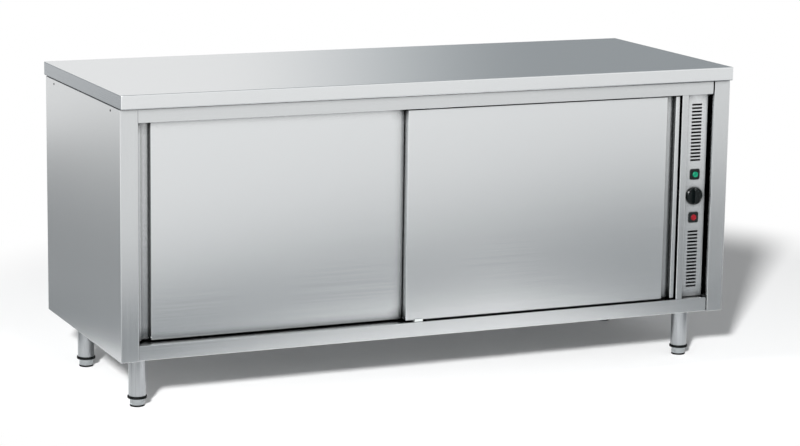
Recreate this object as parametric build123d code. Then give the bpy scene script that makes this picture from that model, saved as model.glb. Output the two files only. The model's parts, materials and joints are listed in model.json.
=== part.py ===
from build123d import *
import math
import os

# Plate warmer cabinet: an insulated steel cupboard on four legs, with a worktop, two top-hung
# sliding doors, a loose middle shelf and a fan heater behind a narrow control column.
# Millimetres. X runs along the cabinet, the front faces -Y, Z is up, and the origin is on the
# floor under the middle of the worktop.

os.makedirs("parts", exist_ok=True)

# Overall size, which is the worktop's
length = 1800.0
depth = 700.0
height = 850.0

# Sheet metal and fits
sheet = 1.2  # outer panels, rails and the worktop
thin_sheet = 1.0  # liners, door skins and the fan housing
flange = 25.0  # width of a fold inside the body
rest_gap = 0.3  # between a moving piece and its seat
soft_edge = 1.0  # rounding of small moulded pieces
shaft_gap = 0.05  # between a shaft and its bore, on the radius

# Worktop
worktop_thickness = 38.0
worktop_edge_radius = 4.0
worktop_hem = 11.0  # fold along the underside
board_thickness = 18.0
board_gap = 1.0
front_overhang = 14.0
side_overhang = 1.0
back_overhang = 14.0
shadow_gap = 1.5  # body to the worktop's underside
stiffener_width = 60.0
stiffener_foot = 10.0

# Body
post_clearance = 146.0  # floor to the posts' underside
post_width = 49.0
post_hem = 14.0
back_fold = 20.0
rail_lift = 2.0  # rails above the posts' underside
lower_rail_height = 40.0
upper_rail_height = 36.0
rail_slit = 5.0  # between the rails' right ends and the right post
rail_corner_radius = 4.0
wall_thickness = 30.0  # outer skin to liner face
screw_head_radius = 3.0
screw_head_height = 0.9
screw_drop = 12.0  # below the body's top edge
screw_inset = 80.0  # from the body's front and back

# Sliding doors
door_thickness = 22.0
door_setback = 8.0  # front door's face behind the rails' face
door_spacing = 4.0  # between the two doors
door_end_gap = 4.0
door_overlap = 76.0
door_top_gap = 3.5
door_bottom_gap = 4.0
handle_flange = 13.0
handle_width = 27.0
handle_depth = 15.0
reveal_margin = 6.0  # the posts' folds reach this far behind the doors

# Door track, hangers and rollers
track_lift = 3.5  # lips above the doorway's head
track_wall = 1.5
track_lip = 7.0
hanger_inset = 90.0  # from a door's end
hanger_plate = 2.2
hanger_plate_length = 60.0
hanger_plate_width = 18.0
hanger_blade = 2.5
hanger_blade_length = 30.0
hanger_eye_margin = 6.0  # steel above the axle
roller_radius = 10.0
roller_width = 7.0
roller_offset = 3.0  # wheel's inner face from the hanger's middle
axle_radius = 3.0
spacer_radius = 5.0
guide_length = 24.0
guide_plate = 2.0
guide_gap = 0.8  # fin to door
guide_fin = 1.8
guide_height = 7.0

# Control column
control_width = 82.0  # jamb to right post
jamb_width = 20.0
panel_setback = 22.0
panel_gap = 8.0
controls_offset = 2.0  # right of the panel's middle
panel_bottom_gap = 2.0
panel_top_lap = 10.0
panel_return = 25.0
vent_width = 32.0
vent_height = 5.4
vent_pitch = 9.9
vent_offset = 103.0  # controls' middle to the nearest slot
vent_margin = 28.0  # last slot to the doorway's head or sill
lamp_spacing = 62.0
bezel_size = 30.0
bezel_height = 2.5
bezel_radius = 3.0
switch_body = 25.0
switch_depth = 22.0
switch_bore_radius = 8.55
switch_bore_depth = 12.0
button_radius = 8.25
button_height = 6.0  # above the panel's face
button_depth = 8.5  # inside the switch, from its face
lens_height = 3.5
lens_radius = 8.25
cutout_gap = 0.3
knob_radius = 25.0
knob_skirt = 7.0
knob_taper = 2.0
grip_width = 12.0
grip_length = 44.0
grip_height = 9.0
knob_bore_depth = 11.0
stem_radius = 3.0
stem_depth = 18.0  # inside the thermostat
panel_hole_radius = 4.5
thermostat_size = 40.0
thermostat_depth = 28.0

# Shelf
shelf_level = 312.0  # shelf's top above the sill
shelf_edge = 30.0
shelf_hem = 12.0
shelf_front_gap = 18.0
shelf_back_gap = 8.0
shelf_side_gap = 2.0
strip_thickness = 2.0
strip_width = 22.0
strip_margin = 27.0  # at each end of a strip
strip_slot_pitch = 50.0
strip_slot_width = 12.0
strip_slot_height = 4.0
strip_inset = 45.0  # from the shelf space's front and back
clip_reach = 24.0
clip_drop = 20.0
clip_width = 20.0

# Fan heater, in the right-hand compartment
fan_level = 142.0  # above the sill
fan_offset = 40.0  # behind the cabinet's middle
housing_depth = 60.0
housing_width = 300.0
housing_height = 260.0
housing_flange = 12.0
wheel_radius = 80.0
wheel_width = 36.0
wheel_plate = 2.0
wheel_gap = 8.0  # wheel to the housing's back wall
hub_radius = 12.0
blade_count = 14
blade_depth = 22.0
blade_thickness = 1.2
fan_shaft_radius = 4.0
fan_shaft_reach = 28.0  # inside the motor
shaft_end_gap = 1.0
housing_hole_radius = 16.0
motor_radius = 42.0
motor_length = 50.0
heater_ring_radius = 104.0
heater_tube_radius = 4.0
heater_leg_radius = 5.0  # the sleeves on its two cold ends
heater_leg_spacing = 40.0
heater_terminal = 12.0
grille_slot_height = 6.0
grille_pitch = 14.0
grille_slots = 9
grille_inlet_width = 100.0
grille_outlet_width = 36.0
grille_outlet_offset = 112.0

# Cable gland in the back panel
gland_height = 82.0  # above the base's underside
gland_inset = 68.0  # from the body's right side
gland_radius = 10.0
gland_flange_radius = 14.0
gland_flange_thickness = 6.0
gland_cap_radius = 11.0
gland_bore_radius = 5.0
gland_length = 29.0
gland_reach = 14.0  # outside the back panel

# Legs and feet
leg_side_inset = 77.0
leg_end_inset = 106.0  # from the body's front and back
leg_radius = 23.0
leg_wall = 1.5
leg_plate = 3.0
leg_plate_size = 80.0
foot_height = 21.5
foot_radius = 19.0
pad_thickness = 5.0
pad_radius = 19.5
ring_radius = 26.0
ring_thickness = 7.0
bush_depth = 33.0
bush_gap = 0.1
stud_radius = 6.0
stud_length = 54.0

# Places, worked out from the sizes
x_left = -length / 2 + side_overhang
x_right = length / 2 - side_overhang
y_front = -depth / 2 + front_overhang
y_back = depth / 2 - back_overhang
z_worktop = height - worktop_thickness
z_top = z_worktop - shadow_gap
z_base = post_clearance + rail_lift
z_sill = z_base + lower_rail_height
z_head = z_top - upper_rail_height
x_left_post = x_left + post_width
x_right_post = x_right - post_width
x_jamb = x_right_post - control_width - jamb_width
x_column = x_jamb + jamb_width

door_pitch = door_thickness + door_spacing
y_right_door = y_front + door_setback
y_left_door = y_right_door + door_pitch
y_reveal = y_left_door + door_thickness + reveal_margin
z_door_bottom = z_sill + door_bottom_gap
z_door_top = z_head - door_top_gap
door_width = (x_jamb - x_left_post - 2 * door_end_gap + door_overlap) / 2
x_left_door = x_left_post + door_end_gap
x_right_door = x_jamb - door_end_gap - door_width

z_lip = z_head + track_lift
z_axle = z_lip + track_wall + rest_gap + roller_radius
y_track_front = y_right_door + door_thickness / 2 - door_pitch / 2 - track_wall / 2
y_track_back = y_track_front + 2 * door_pitch + track_wall

y_panel = y_front + panel_setback
x_panel_right = x_right_post - panel_gap
x_controls = (x_column + x_panel_right) / 2 + controls_offset
z_controls = (z_sill + z_head) / 2
vent_room = z_head - z_controls - vent_offset - vent_margin
vent_count = int(vent_room / vent_pitch) + 1

x_liner = x_left + wall_thickness
y_liner = y_back - wall_thickness
y_back_inside = y_back - 2 * sheet
z_ceiling = z_head + thin_sheet / 2
x_partition = x_column - thin_sheet
z_shelf = z_sill + shelf_level
z_shelf_underside = z_shelf - shelf_edge
y_strips = (y_reveal + strip_inset, y_liner - strip_inset)

z_fan = z_sill + fan_level
x_housing = x_column + housing_depth
leg_places = {
    "front_left": (x_left + leg_side_inset, y_front + leg_end_inset),
    "front_right": (x_right - leg_side_inset, y_front + leg_end_inset),
    "back_left": (x_left + leg_side_inset, y_back - leg_end_inset),
    "back_right": (x_right - leg_side_inset, y_back - leg_end_inset),
}


def block(x, y, z):
    """A box between three (low, high) pairs."""
    size = Box(x[1] - x[0], y[1] - y[0], z[1] - z[0])
    return Pos(sum(x) / 2, sum(y) / 2, sum(z) / 2) * size


def rod_x(y, z, radius, x):
    """A cylinder along X, between a (low, high) pair."""
    return Pos(sum(x) / 2, y, z) * Rot(0, 90, 0) * Cylinder(radius, x[1] - x[0])


def rod_y(x, z, radius, y):
    """A cylinder along Y, between a (low, high) pair."""
    return Pos(x, sum(y) / 2, z) * Rot(90, 0, 0) * Cylinder(radius, y[1] - y[0])


def rod_z(x, y, radius, z):
    """A cylinder along Z, between a (low, high) pair."""
    return Pos(x, y, sum(z) / 2) * Cylinder(radius, z[1] - z[0])


def around(centre, width):
    """The (low, high) pair of a width centred on a place."""
    return (centre - width / 2, centre + width / 2)


def mirrored(shape):
    """The same shape on the cabinet's other side."""
    return mirror(shape, about=Plane.YZ)


def group(shapes):
    """Separate solids that share one node."""
    return Compound(children=list(shapes))


# ---- Worktop ----


def worktop():
    """A steel pan turned upside down, with its edges folded under."""
    outside = block(around(0, length), around(0, depth), (z_worktop, height))
    outside = fillet(outside.edges(), worktop_edge_radius)
    inside = block(
        around(0, length - 2 * sheet),
        around(0, depth - 2 * sheet),
        (z_worktop + sheet, height - sheet),
    )
    inside = fillet(inside.edges(), worktop_edge_radius - sheet)
    opening = block(
        around(0, length - 2 * worktop_hem),
        around(0, depth - 2 * worktop_hem),
        (z_worktop - sheet, z_worktop + 2 * sheet),
    )
    return outside - inside - opening


def worktop_board():
    """The sound-deadening board glued under the worktop's skin."""
    edge = worktop_hem + board_gap
    top = height - sheet
    return block(
        around(0, length - 2 * edge),
        around(0, depth - 2 * edge),
        (top - board_thickness, top),
    )


def worktop_stiffener(y):
    """A hat section along the cabinet, from the body's top edge up to the board."""
    x = around(0, length - 2 * (worktop_hem + board_gap))
    z_under_board = height - sheet - board_thickness
    outside = around(y, stiffener_width - 2 * stiffener_foot)
    inside = (outside[0] + sheet, outside[1] - sheet)
    hat = block(x, outside, (z_top, z_under_board))
    hat -= block(x, inside, (z_top, z_under_board - sheet))
    feet = block(x, around(y, stiffener_width), (z_top, z_top + sheet))
    feet -= block(x, inside, (z_top, z_top + sheet))
    return hat + feet


def worktop_stiffeners():
    """Three hats: on the front rail, across the middle and on the back panel."""
    edge = stiffener_width / 2 + sheet
    return group(worktop_stiffener(y) for y in (y_front + edge, 0, y_back - edge))


# ---- Body ----


def left_side_panel():
    """Side skin, front post and back fold, bent from one sheet."""
    z = (post_clearance, z_top)
    x_skin = (x_left, x_left + sheet)
    x_post = (x_left, x_left_post)
    panel = block(x_skin, (y_front, y_back), z)
    panel += block(x_post, (y_front, y_front + sheet), z)
    panel += block((x_left_post - sheet, x_left_post), (y_front, y_reveal), z)
    panel += block((x_left_post - post_hem, x_left_post), (y_reveal - sheet, y_reveal), z)
    panel += block((x_left, x_left + back_fold), (y_back - sheet, y_back), z)
    panel += block((x_left, x_left + flange), (y_front, y_back), (z_top - sheet, z_top))
    z_floor = (post_clearance, post_clearance + sheet)
    panel += block((x_left, x_left + flange), (y_front, y_back), z_floor)
    panel += block(x_post, (y_front, y_reveal), z_floor)
    return panel


def side_screws():
    """Pan-head screws through both side panels, near the top edge."""
    z = z_top - screw_drop
    y_places = (y_front + screw_inset, y_back - screw_inset)
    left = [rod_x(y, z, screw_head_radius, (x_left - screw_head_height, x_left)) for y in y_places]
    left = [fillet(s.edges().sort_by(Axis.X)[0], screw_head_height / 2) for s in left]
    return group(left + [mirrored(s) for s in left])


def rail_span():
    return (x_left_post, x_right_post - rail_slit)


def rail_plate(z, rounded_corner):
    """A rail's front plate, with one right-hand corner rounded."""
    plate = block(rail_span(), (y_front, y_front + sheet), z)
    corners = plate.edges().filter_by(Axis.Y).sort_by(Axis.X)[-2:].sort_by(Axis.Z)
    return fillet(corners[rounded_corner], rail_corner_radius)


def upper_rail():
    """The front rail over the doors."""
    rail = rail_plate((z_head, z_top), 0)
    hem_end = rail_span()[1] - rail_corner_radius
    rail += block((x_left_post, hem_end), (y_front, y_track_front), (z_head, z_head + sheet))
    rail += block(rail_span(), (y_front, y_front + flange), (z_top - sheet, z_top))
    return rail


def lower_rail():
    """The front rail under the doors, with the sill that they pass over."""
    rail = rail_plate((z_base, z_sill), -1)
    sill_end = rail_span()[1] - rail_corner_radius
    rail += block((x_left_post, sill_end), (y_front, y_reveal), (z_sill - sheet, z_sill))
    rail += block(rail_span(), (y_front, y_front + flange), (z_base, z_base + sheet))
    return rail


def base_pan():
    """The cupboard's floor, a tray with its four edges turned down."""
    x = (x_left + sheet, x_right - sheet)
    y = (y_reveal, y_back_inside)
    z = (z_base, z_sill)
    inside = block(
        (x[0] + sheet, x[1] - sheet),
        (y[0] + sheet, y[1] - sheet),
        (z_base, z_sill - sheet),
    )
    return block(x, y, z) - inside


def back_panel():
    """The outer back, between the side panels' folds, with a shelf for the worktop."""
    y = (y_back_inside, y_back - sheet)
    panel = block(
        (x_left + sheet, x_right - sheet), y, (post_clearance + sheet, z_top - sheet)
    )
    panel += block(
        (x_left + flange, x_right - flange), (y[0] - flange, y[1]), (z_top - sheet, z_top)
    )
    x, z = x_right - gland_inset, z_base + gland_height
    return panel - rod_y(x, z, gland_radius + cutout_gap, y)


def left_liner():
    """The heated space's left wall."""
    z = (z_sill, z_ceiling)
    wall = block((x_liner - thin_sheet, x_liner), (y_reveal, y_liner - thin_sheet), z)
    x_fold = (x_liner - thin_sheet, x_left_post - sheet)
    return wall + block(x_fold, (y_reveal, y_reveal + thin_sheet), z)


def back_liner():
    """The heated space's back wall."""
    x = (x_liner - thin_sheet, x_column)
    return block(x, (y_liner - thin_sheet, y_liner), (z_sill, z_ceiling))


def ceiling_liner():
    """The heated space's ceiling."""
    x = (x_liner - thin_sheet, x_column)
    return block(x, (y_reveal, y_liner), (z_ceiling, z_ceiling + thin_sheet))


def insulation():
    """Mineral wool slabs in the left wall, the back and the ceiling."""
    x_wall = (x_left + sheet, x_liner - thin_sheet)
    z_wall = (z_sill, z_ceiling + thin_sheet)
    left = block(x_wall, (y_reveal, y_back_inside), z_wall)
    back = block((x_wall[1], x_column), (y_liner, y_back_inside), z_wall)
    above = block((x_wall[0], x_column), (y_reveal, y_back_inside), (z_wall[1], z_top - sheet))
    return group([left, back, above])


# ---- Door track and guide ----


def door_track():
    """A double channel: a web, three walls and four lips that the rollers run on."""
    x = (x_left_post, x_jamb)
    z = (z_lip, z_top - sheet)
    track = block(x, (y_track_front, y_track_back), z)
    for door_y in (y_right_door, y_left_door):
        middle = door_y + door_thickness / 2
        clear = door_pitch - track_wall
        track -= block(x, around(middle, clear), (z[0] + track_wall, z[1] - track_wall))
        track -= block(x, around(middle, clear - 2 * track_lip), (z[0], z[0] + track_wall))
    return track


def door_guide():
    """The bracket on the sill, where the doors overlap: one fin each side of each door."""
    x = around((x_left_post + x_jamb) / 2, guide_length)
    fins = [
        (y_right_door - guide_gap - guide_fin, y_right_door - guide_gap),
        (y_right_door + door_thickness + guide_gap, y_left_door - guide_gap),
        (y_left_door + door_thickness + guide_gap, y_left_door + door_thickness + guide_gap + guide_fin),
    ]
    guide = block(x, (fins[0][0], fins[2][1]), (z_sill, z_sill + guide_plate))
    for fin in fins:
        guide += block(x, fin, (z_sill, z_sill + guide_height))
    return guide


# ---- Doors ----


def handle_span(x_outer, inward):
    """The handle channel's (low, high) in X, from a door's outer end."""
    near = x_outer + inward * handle_flange
    return tuple(sorted((near, near + inward * handle_width)))


def door_skin(x, y_face, x_handle):
    """The door's folded front: a face, four edges and the channel that is its handle."""
    z = (z_door_bottom, z_door_top)
    channel = block(x_handle, (y_face, y_face + handle_depth), z)
    walled = block(
        (x_handle[0] - thin_sheet, x_handle[1] + thin_sheet),
        (y_face, y_face + handle_depth + thin_sheet),
        z,
    )
    inside = block(
        (x[0] + thin_sheet, x[1] - thin_sheet),
        (y_face + thin_sheet, y_face + door_thickness),
        (z[0] + thin_sheet, z[1] - thin_sheet),
    )
    return block(x, (y_face, y_face + door_thickness), z) - (inside - walled) - channel


def door_core(x, y_face, x_handle):
    """The insulating board that fills the door, thinner behind the handle channel."""
    z = (z_door_bottom + thin_sheet, z_door_top - thin_sheet)
    y = (y_face + thin_sheet, y_face + door_thickness - thin_sheet)
    core = block((x[0] + thin_sheet, x[1] - thin_sheet), y, z)
    around_handle = block(
        (x_handle[0] - thin_sheet, x_handle[1] + thin_sheet),
        (y_face, y_face + handle_depth + thin_sheet),
        z,
    )
    return core - around_handle


def door_liner(x, y_face):
    """The sheet that closes the door's back, inside the skin's edges."""
    y = (y_face + door_thickness - thin_sheet, y_face + door_thickness)
    z = (z_door_bottom + thin_sheet, z_door_top - thin_sheet)
    return block((x[0] + thin_sheet, x[1] - thin_sheet), y, z)


def hanger_places(x_low):
    return (x_low + hanger_inset, x_low + door_width - hanger_inset)


def door_hangers(x_low, y_face):
    """Two brackets on the door's top edge, each with an eye for a roller's axle."""
    middle = y_face + door_thickness / 2
    z_blade = z_door_top + hanger_plate
    hangers = []
    for x in hanger_places(x_low):
        plate = block(
            around(x, hanger_plate_length),
            around(middle, hanger_plate_width),
            (z_door_top, z_blade),
        )
        blade = block(
            around(x, hanger_blade_length),
            around(middle, hanger_blade),
            (z_blade, z_axle + hanger_eye_margin),
        )
        eye = rod_y(x, z_axle, axle_radius + shaft_gap, around(middle, hanger_blade))
        hangers.append(plate + blade - eye)
    return group(hangers)


def door_roller(x, y_face):
    """Two wheels moulded on one axle, one each side of the hanger."""
    middle = y_face + door_thickness / 2
    outer = roller_offset + roller_width
    inner = hanger_blade / 2 + rest_gap
    roller = rod_y(x, z_axle, axle_radius, around(middle, 2 * outer))
    for side in (-1, 1):
        wheel = tuple(sorted((middle + side * roller_offset, middle + side * outer)))
        spacer = tuple(sorted((middle + side * inner, middle + side * roller_offset)))
        roller += rod_y(x, z_axle, roller_radius, wheel)
        roller += rod_y(x, z_axle, spacer_radius, spacer)
    return roller


# ---- Control column ----


def door_jamb():
    """The channel that ends the doorway and carries the control panel."""
    y = (y_front + sheet, y_reveal)
    z = (z_sill, z_head)
    jamb = block((x_jamb, x_column), (y[0], y[0] + sheet), z)
    jamb += block((x_jamb, x_jamb + sheet), y, z)
    return jamb + block((x_column - sheet, x_column), y, z)


def partition():
    """The wall between the heated space and the fan's compartment, with its air slots."""
    z = (z_sill, z_ceiling)
    x = (x_partition, x_column)
    wall = block(x, (y_reveal, y_liner - thin_sheet), z)
    wall += block((x_jamb, x_column), (y_reveal, y_reveal + thin_sheet), z)
    columns = [
        (fan_offset, grille_inlet_width),
        (fan_offset - grille_outlet_offset, grille_outlet_width),
        (fan_offset + grille_outlet_offset, grille_outlet_width),
    ]
    for row in range(grille_slots):
        z_slot = z_fan + (row - (grille_slots - 1) / 2) * grille_pitch
        for y, width in columns:
            wall -= block(x, around(y, width), around(z_slot, grille_slot_height))
    return wall


def vent_levels():
    """Heights of the slots, in two groups that face each other across the controls."""
    steps = [vent_offset + vent_pitch * i for i in range(vent_count)]
    return [z_controls + side * step for side in (-1, 1) for step in steps]


def lamp_level(side):
    return z_controls + side * lamp_spacing


def control_panel():
    """The slotted plate set back between the jamb and the right post."""
    x = (x_column, x_panel_right)
    y = (y_panel, y_panel + sheet)
    z = (z_sill + panel_bottom_gap, z_head + panel_top_lap)
    panel = block(x, y, z)
    for edge in ((x[0], x[0] + sheet), (x[1] - sheet, x[1])):
        panel += block(edge, (y_panel, y_panel + panel_return), z)
    for level in vent_levels():
        panel -= block(around(x_controls, vent_width), y, around(level, vent_height))
    for side in (-1, 1):
        cutout = switch_body + 2 * cutout_gap
        panel -= block(around(x_controls, cutout), y, around(lamp_level(side), cutout))
    return panel - rod_y(x_controls, z_controls, panel_hole_radius, y)


def switch_housing(side):
    """A square black bezel and the body behind it, bored for a round button or lens."""
    z = lamp_level(side)
    y_face = y_panel - bezel_height
    bezel = block(around(x_controls, bezel_size), (y_face, y_panel), around(z, bezel_size))
    bezel = fillet(bezel.edges().filter_by(Axis.Y), bezel_radius)
    body = block(
        around(x_controls, switch_body),
        (y_panel, y_panel + switch_depth),
        around(z, switch_body),
    )
    bore = rod_y(x_controls, z, switch_bore_radius, (y_face, y_face + switch_bore_depth))
    return bezel + body - bore


def power_button():
    """The round green button, which stands out of its bezel."""
    y_face = y_panel - bezel_height
    button = rod_y(
        x_controls, lamp_level(1), button_radius, (y_panel - button_height, y_face + button_depth)
    )
    return fillet(button.edges().sort_by(Axis.Y)[0], (button_height - bezel_height) / 4)


def heating_lamp_lens():
    """The round red lens, seated at the bottom of its housing."""
    y_floor = y_panel - bezel_height + switch_bore_depth
    lens = rod_y(x_controls, lamp_level(-1), lens_radius, (y_panel - lens_height, y_floor))
    return fillet(lens.edges().sort_by(Axis.Y)[0], (lens_height - bezel_height) / 2)


def thermostat():
    """The thermostat's body, behind the panel, bored for its stem."""
    y_face = y_panel + sheet
    body = block(
        around(x_controls, thermostat_size),
        (y_face, y_face + thermostat_depth),
        around(z_controls, thermostat_size),
    )
    bore = rod_y(x_controls, z_controls, stem_radius + shaft_gap, (y_face, y_face + stem_depth))
    return body - bore


def thermostat_stem():
    """The stem from the thermostat's bore into the knob."""
    y_knob = y_panel - rest_gap - knob_bore_depth
    y_end = y_panel + sheet + stem_depth - rest_gap
    return rod_y(x_controls, z_controls, stem_radius, (y_knob, y_end))


def thermostat_knob():
    """A tapered round skirt with a straight grip across it."""
    y_seat = y_panel - rest_gap
    y_skirt = y_seat - knob_skirt
    skirt = rod_y(x_controls, z_controls, knob_radius, (y_skirt, y_seat))
    skirt = chamfer(skirt.edges().sort_by(Axis.Y)[0], knob_taper)
    grip = block(
        around(x_controls, grip_width),
        (y_skirt - grip_height, y_skirt),
        around(z_controls, grip_length),
    )
    grip = fillet(grip.edges().filter_by(Axis.Y), grip_width / 4)
    bore = rod_y(x_controls, z_controls, stem_radius, (y_seat - knob_bore_depth, y_seat))
    return skirt + grip - bore


# ---- Shelf ----


def middle_shelf():
    """A loose steel tray turned upside down, with folded edges."""
    side = 2 * strip_thickness + shelf_side_gap
    x = (x_liner + side, x_partition - side)
    y = (y_reveal - reveal_margin + shelf_front_gap, y_liner - thin_sheet - shelf_back_gap)
    shelf = block(x, y, (z_shelf_underside, z_shelf))
    shelf -= block(
        (x[0] + sheet, x[1] - sheet),
        (y[0] + sheet, y[1] - sheet),
        (z_shelf_underside + sheet, z_shelf - sheet),
    )
    return shelf - block(
        (x[0] + shelf_hem, x[1] - shelf_hem),
        (y[0] + shelf_hem, y[1] - shelf_hem),
        (z_shelf_underside, z_shelf_underside + sheet),
    )


def wall_faces():
    """Each side wall's face and the direction from it into the heated space."""
    return ((x_liner, 1), (x_partition, -1))


def from_wall(face, inward, start, end):
    """A (low, high) pair in X, measured from a wall's face into the space."""
    return tuple(sorted((face + inward * start, face + inward * end)))


def shelf_strips():
    """Four slotted strips, two on each side wall."""
    z = (z_sill + strip_margin, z_head - strip_margin)
    strips = []
    for face, inward in wall_faces():
        x = from_wall(face, inward, 0, strip_thickness)
        for y in y_strips:
            strip = block(x, around(y, strip_width), z)
            slots = int((z[1] - z[0]) / strip_slot_pitch)
            for i in range(slots):
                level = z[0] + (i + 0.5) * strip_slot_pitch
                strip -= block(x, around(y, strip_slot_width), around(level, strip_slot_height))
            strips.append(strip)
    return group(strips)


def shelf_clips():
    """Four angle clips, hooked on the strips, that the shelf rests on."""
    z_tongue = z_shelf_underside - rest_gap
    clips = []
    for face, inward in wall_faces():
        x_plate = from_wall(face, inward, strip_thickness, 2 * strip_thickness)
        x_tongue = from_wall(face, inward, strip_thickness, strip_thickness + clip_reach)
        for y in y_strips:
            clip = block(x_plate, around(y, clip_width), (z_tongue - clip_drop, z_tongue))
            clip += block(
                x_tongue, around(y, clip_width), (z_tongue - strip_thickness, z_tongue)
            )
            clips.append(clip)
    return group(clips)


# ---- Fan heater ----


def fan_housing():
    """A shallow box on the partition that holds the fan wheel and the heater."""
    y = around(fan_offset, housing_width)
    z = around(z_fan, housing_height)
    box = block((x_column, x_housing), y, z)
    box -= block(
        (x_column, x_housing - thin_sheet),
        (y[0] + thin_sheet, y[1] - thin_sheet),
        (z[0] + thin_sheet, z[1] - thin_sheet),
    )
    rim = block(
        (x_column, x_column + thin_sheet),
        (y[0] - housing_flange, y[1] + housing_flange),
        (z[0] - housing_flange, z[1] + housing_flange),
    )
    rim -= block((x_column, x_column + thin_sheet), y, z)
    box += rim
    wall = (x_housing - thin_sheet, x_housing)
    box -= rod_x(fan_offset, z_fan, housing_hole_radius, wall)
    for y_leg in heater_legs():
        box -= rod_x(y_leg, z_heater_legs(), heater_leg_radius + cutout_gap, wall)
    return box


def heater_legs():
    return around(fan_offset, heater_leg_spacing)


def z_heater_legs():
    """The ring's height where its legs leave it."""
    return z_fan + math.sqrt(heater_ring_radius**2 - (heater_leg_spacing / 2) ** 2)


def heating_element():
    """A tubular ring round the fan wheel, on two legs through the housing's wall."""
    x_ring = x_column + housing_depth / 2
    ring = Pos(x_ring, fan_offset, z_fan) * Rot(0, 90, 0) * Torus(
        heater_ring_radius, heater_tube_radius
    )
    for y_leg in heater_legs():
        leg = (x_ring, x_housing + heater_terminal)
        ring += rod_x(y_leg, z_heater_legs(), heater_leg_radius, leg)
    return ring


def fan_wheel():
    """A backplate, a ring of straight blades and a shaft that runs in the motor."""
    x_plate = x_housing - thin_sheet - wheel_gap
    plate = (x_plate - wheel_plate, x_plate)
    wheel = rod_x(fan_offset, z_fan, wheel_radius, plate)
    wheel += rod_x(fan_offset, z_fan, hub_radius, (x_plate - wheel_width / 2, x_plate))
    wheel += rod_x(fan_offset, z_fan, fan_shaft_radius, (x_plate, x_housing + fan_shaft_reach))
    blade = block(
        (x_plate - wheel_width, x_plate),
        around(wheel_radius - blade_depth / 2, blade_depth),
        around(0, blade_thickness),
    )
    blade -= rod_x(0, 0, wheel_radius - blade_depth, (x_plate - wheel_width, x_plate))
    for i in range(blade_count):
        turned = Rot(360 / blade_count * i, 0, 0) * blade
        wheel += Pos(0, fan_offset, z_fan) * turned
    return wheel


def fan_motor():
    """The motor on the back of the housing, bored for the wheel's shaft."""
    motor = rod_x(fan_offset, z_fan, motor_radius, (x_housing, x_housing + motor_length))
    motor = fillet(motor.edges().sort_by(Axis.X)[-1], motor_length / 10)
    bore_end = x_housing + fan_shaft_reach + shaft_end_gap
    return motor - rod_x(fan_offset, z_fan, fan_shaft_radius + shaft_gap, (x_housing, bore_end))


def cable_gland():
    """The gland for the supply cable, through the back panel."""
    x, z = x_right - gland_inset, z_base + gland_height
    y_outside = y_back - sheet
    y_inner_end = y_outside + gland_reach - gland_length
    gland = rod_y(x, z, gland_radius, (y_inner_end, y_outside))
    gland += rod_y(x, z, gland_flange_radius, (y_outside, y_outside + gland_flange_thickness))
    nut = (y_back_inside - gland_flange_thickness, y_back_inside)
    gland += rod_y(x, z, gland_flange_radius, nut)
    gland += rod_y(x, z, gland_cap_radius, (y_outside, y_outside + gland_reach))
    return gland - rod_y(x, z, gland_bore_radius, (y_inner_end, y_outside + gland_reach))


# ---- Legs and feet ----


def leg_plates():
    """Four square plates bolted under the base, one on each leg."""
    z = (z_sill - sheet - leg_plate, z_sill - sheet)
    return group(
        block(around(x, leg_plate_size), around(y, leg_plate_size), z)
        for x, y in leg_places.values()
    )


def leg_tube(x, y):
    """A round steel leg, from its plate down to the black ring."""
    z = (foot_height + rest_gap + ring_thickness, z_sill - sheet - leg_plate)
    return rod_z(x, y, leg_radius, z) - rod_z(x, y, leg_radius - leg_wall, z)


def leg_bushes():
    """Black plastic bushes that close the legs and hold the feet's studs."""
    z_ring = foot_height + rest_gap
    z_tube = z_ring + ring_thickness
    bushes = []
    for x, y in leg_places.values():
        ring = fillet(rod_z(x, y, ring_radius, (z_ring, z_tube)).edges(), soft_edge)
        plug = rod_z(x, y, leg_radius - leg_wall - bush_gap, (z_tube, z_tube + bush_depth))
        bore = rod_z(x, y, stud_radius + shaft_gap, (z_ring, z_tube + bush_depth))
        bushes.append(ring + plug - bore)
    return group(bushes)


def foot(x, y):
    """A levelling foot: a round head on a stud."""
    head = rod_z(x, y, foot_radius, (pad_thickness, foot_height))
    head = chamfer(head.edges().sort_by(Axis.Z)[-1], soft_edge)
    return head + rod_z(x, y, stud_radius, (foot_height, foot_height + stud_length))


def foot_pad(x, y):
    """The rubber pad under a foot."""
    pad = rod_z(x, y, pad_radius, (0, pad_thickness))
    return fillet(pad.edges().sort_by(Axis.Z)[-1], soft_edge)


def door_nodes(name, x_low, y_face, x_outer, inward):
    """One door's nodes, by name."""
    x = (x_low, x_low + door_width)
    x_handle = handle_span(x_outer, inward)
    nodes = {
        name + "_door_skin": door_skin(x, y_face, x_handle),
        name + "_door_core": door_core(x, y_face, x_handle),
        name + "_door_liner": door_liner(x, y_face),
        name + "_door_hangers": door_hangers(x_low, y_face),
    }
    for number, x_hanger in enumerate(hanger_places(x_low), 1):
        nodes[f"{name}_door_roller_{number}"] = door_roller(x_hanger, y_face)
    return nodes


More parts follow.
